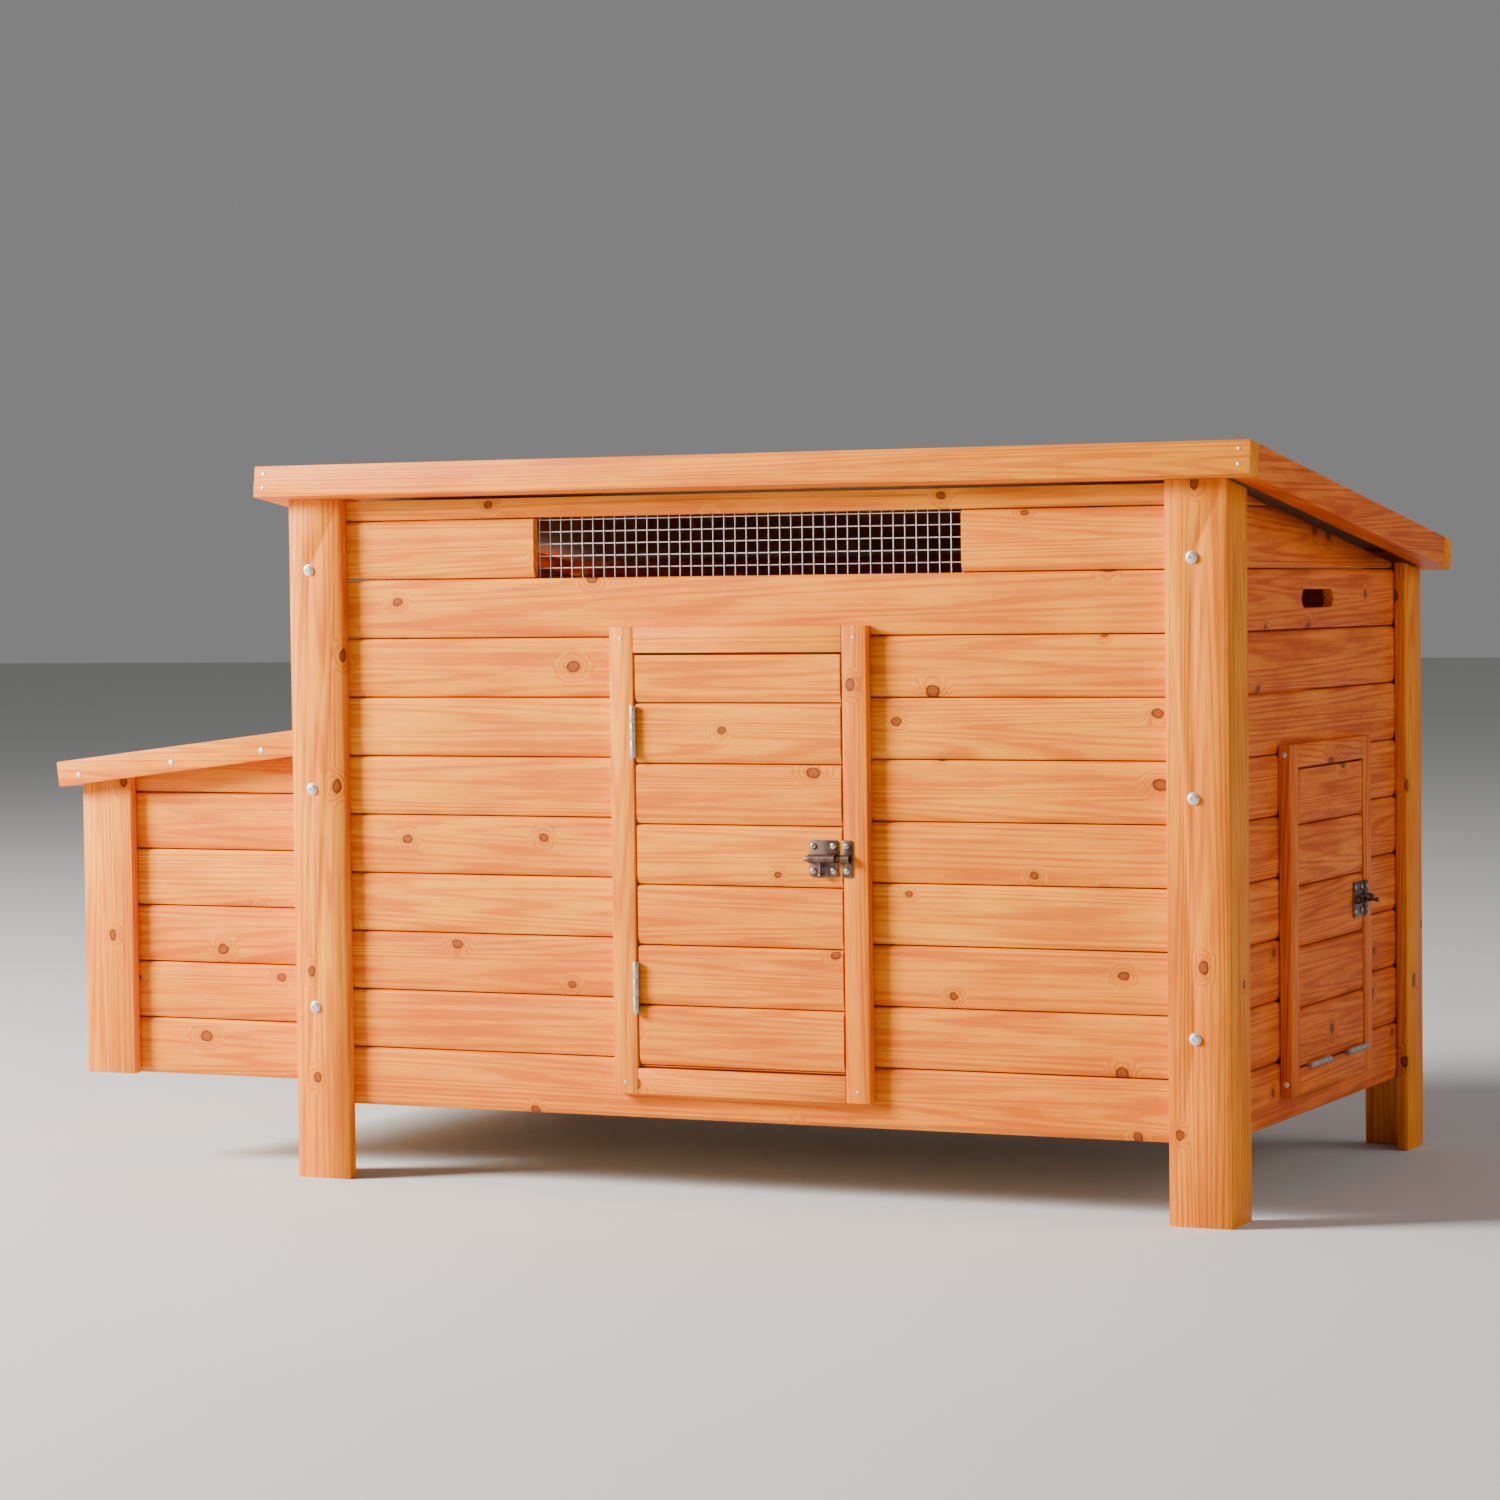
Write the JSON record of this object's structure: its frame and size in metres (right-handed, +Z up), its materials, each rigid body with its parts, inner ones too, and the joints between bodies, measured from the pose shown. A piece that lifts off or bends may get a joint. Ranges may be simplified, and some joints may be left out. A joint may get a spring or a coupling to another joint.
{
  "type": "chicken coop",
  "caption": "Pine-board hen house on short legs: lean-to roof, framed front door, drop-down ramp door, wire-mesh window and a nest box with a hinged lid.",
  "frame": {"origin": "on the ground, below the middle of the coop's length and depth", "axes": "+X along the length, from the nest box to the ramp-door side; +Y from the front to the back; +Z up"},
  "size_m": [1.4156, 0.711, 0.7714],
  "materials": {
    "pine_boards": "orange honey glaze, satin",
    "pine_trim": "orange honey glaze, satin",
    "plywood": "bare plywood, matt",
    "felt": "mineral-faced bitumen roofing felt, matt",
    "zinc": "zinc plated",
    "antique_brass": "antiqued, worn"
  },
  "bodies": {
    "coop": {"front_wall": "pine_boards", "window_mesh": "zinc", "floor_panel": "plywood", "back_wall": "pine_boards", "corner_post_front_left": "pine_trim", "corner_post_front_right": "pine_trim", "corner_post_back_left": "pine_trim", "corner_post_back_right": "pine_trim", "post_bolt_left_low": "zinc", "post_bolt_left_middle": "zinc", "post_bolt_left_high": "zinc", "post_bolt_right_low": "zinc", "post_bolt_right_middle": "zinc", "post_bolt_right_high": "zinc", "door_stile_left": "pine_trim", "door_stile_right": "pine_trim", "door_rail_top": "pine_trim", "door_rail_bottom": "pine_trim", "door_hinge_lower_fixed_leaf": "zinc", "door_hinge_upper_fixed_leaf": "zinc", "door_latch_keep": "antique_brass", "right_wall": "pine_boards", "pop_door_stile_front": "pine_trim", "pop_door_stile_rear": "pine_trim", "pop_door_rail_top": "pine_trim", "pop_door_rail_bottom": "pine_trim", "pop_door_hinge_front_fixed_leaf": "zinc", "pop_door_hinge_rear_fixed_leaf": "zinc", "pop_door_latch_keep": "antique_brass", "left_wall": "pine_boards", "nest_front_wall": "pine_boards", "nest_back_wall": "pine_boards", "nest_end_wall": "pine_boards", "nest_post_front": "pine_trim", "nest_post_back": "pine_trim", "nest_floor": "plywood", "nest_divider": "pine_boards", "lid_hinge_rail": "pine_trim"},
    "front_door": {"front_door": "pine_boards", "door_ledge_lower": "pine_trim", "door_ledge_upper": "pine_trim", "door_hinge_lower_moving_leaf": "zinc", "door_hinge_upper_moving_leaf": "zinc", "door_latch_barrel": "antique_brass"},
    "door_bolt": {"door_latch_bolt": "antique_brass"},
    "pop_door": {"pop_door": "pine_boards", "pop_door_hinge_front_moving_leaf": "zinc", "pop_door_hinge_rear_moving_leaf": "zinc", "pop_door_latch_barrel": "antique_brass"},
    "pop_bolt": {"pop_door_latch_bolt": "antique_brass"},
    "nest_lid": {"lid_panel": "pine_boards", "lid_batten_front": "pine_trim", "lid_batten_back": "pine_trim", "lid_batten_end": "pine_trim"},
    "roof": {"roof_rail_front": "pine_trim", "roof_rail_rear": "pine_trim", "roof_rail_left": "pine_trim", "roof_rail_right": "pine_trim", "roof_deck": "plywood", "roof_felt": "felt"}
  },
  "joints": [
    {"name": "front_door_hinge", "type": "hinge", "parent": "coop", "child": "front_door", "pos_m": [0.028, -0.33617, 0.351], "axis": [0, 0, -1], "range_deg": [0, 170]},
    {"name": "front_door_bolt_slide", "type": "slide", "parent": "front_door", "child": "door_bolt", "axis": [-1, 0, 0], "range_m": [0, 0.01]},
    {"name": "pop_door_hinge", "type": "hinge", "parent": "coop", "child": "pop_door", "pos_m": [0.67945, 0.00253, 0.13525], "axis": [0, 1, 0], "range_deg": [0, 115]},
    {"name": "pop_door_bolt_slide", "type": "slide", "parent": "pop_door", "child": "pop_bolt", "axis": [0, -1, 0], "range_m": [0, 0.01]},
    {"name": "nest_lid_hinge", "type": "hinge", "parent": "coop", "child": "nest_lid", "pos_m": [-0.38925, 0.00303, 0.486], "axis": [0, 1, 0], "range_deg": [0, 80]},
    {"name": "roof_hinge", "type": "hinge", "parent": "coop", "child": "roof", "pos_m": [0.14475, 0.34253, 0.642], "axis": [-1, 0, 0], "range_deg": [0, 75]}
  ]
}
